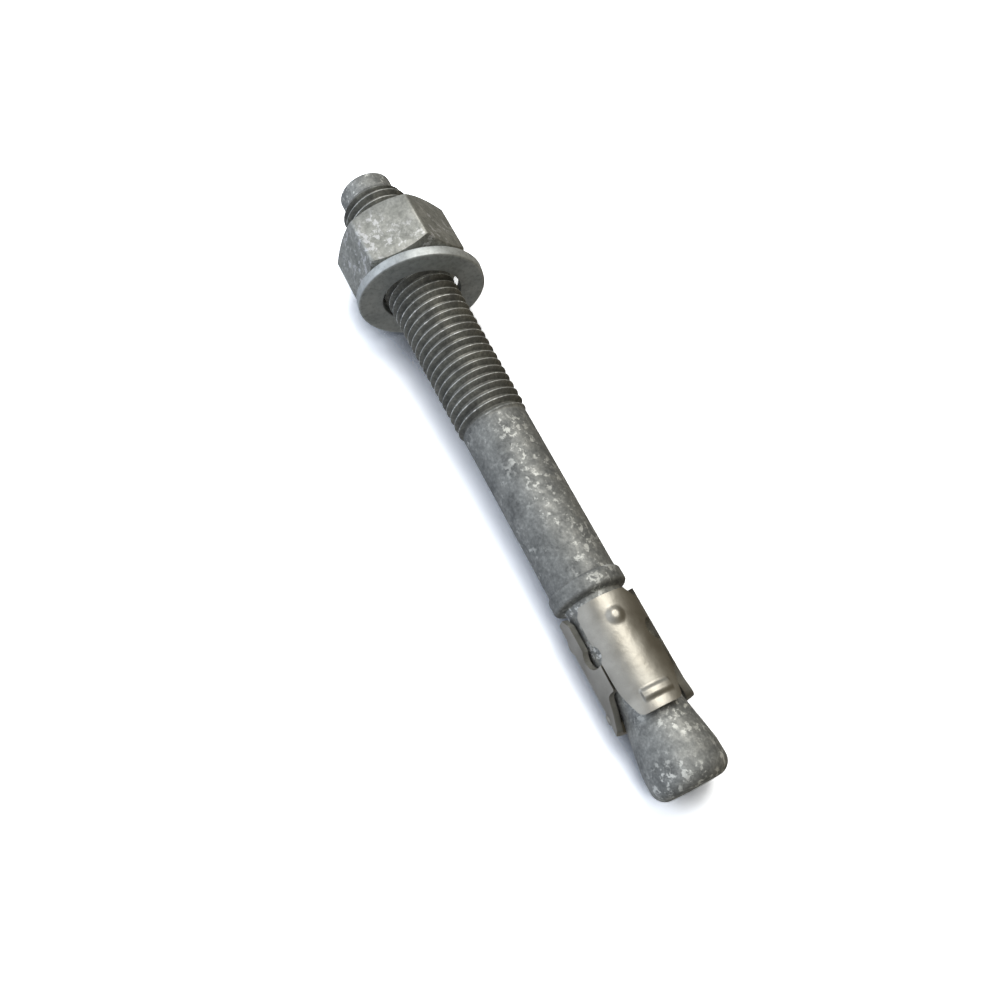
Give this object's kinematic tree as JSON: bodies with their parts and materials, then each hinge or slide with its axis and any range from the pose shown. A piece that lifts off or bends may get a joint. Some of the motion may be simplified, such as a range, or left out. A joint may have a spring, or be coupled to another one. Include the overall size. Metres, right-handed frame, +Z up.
{
  "type": "expansion bolt",
  "caption": "Galvanised wedge expansion bolt lying at rest: threaded stud with collar and cone, hex nut, loose washer and a slotted stainless expansion clip.",
  "frame": {"origin": "centre of the bounding box at floor level", "axes": "+X along the bolt to the threaded end, +Z up, floor at z = 0"},
  "size_m": [0.1548, 0.0292, 0.0295],
  "materials": {
    "zinc_stud": "hot-dip galvanised, mottled matt grey",
    "zinc_nut": "hot-dip galvanised, spangled",
    "zinc_washer": "galvanised, smooth dull grey",
    "stainless_clip": "satin stamped stainless"
  },
  "bodies": {
    "stud": {"anchor_stud": "zinc_stud"},
    "washer": {"washer": "zinc_washer"},
    "nut": {"hex_nut": "zinc_nut"},
    "clip": {"expansion_clip": "stainless_clip"}
  },
  "joints": [
    {"name": "washer_slide", "type": "slide", "parent": "stud", "child": "washer", "axis": [0.9988, 0, 0.0481], "range_m": [-0.038, 0.007]},
    {"name": "nut_spin", "type": "hinge", "parent": "washer", "child": "nut", "pos_m": [0.05652, 0, 0.01444], "axis": [0.9988, 0, 0.0481], "range_deg": [-6850, 1270]},
    {"name": "clip_turn", "type": "hinge", "parent": "stud", "child": "clip", "pos_m": [-0.0499, 0, 0.00931], "axis": [0.9988, 0, 0.0481], "continuous": true}
  ],
  "couplings": [
    {"joint": "nut_spin", "follows": "washer_slide", "rad_per_m": 3141.6}
  ]
}
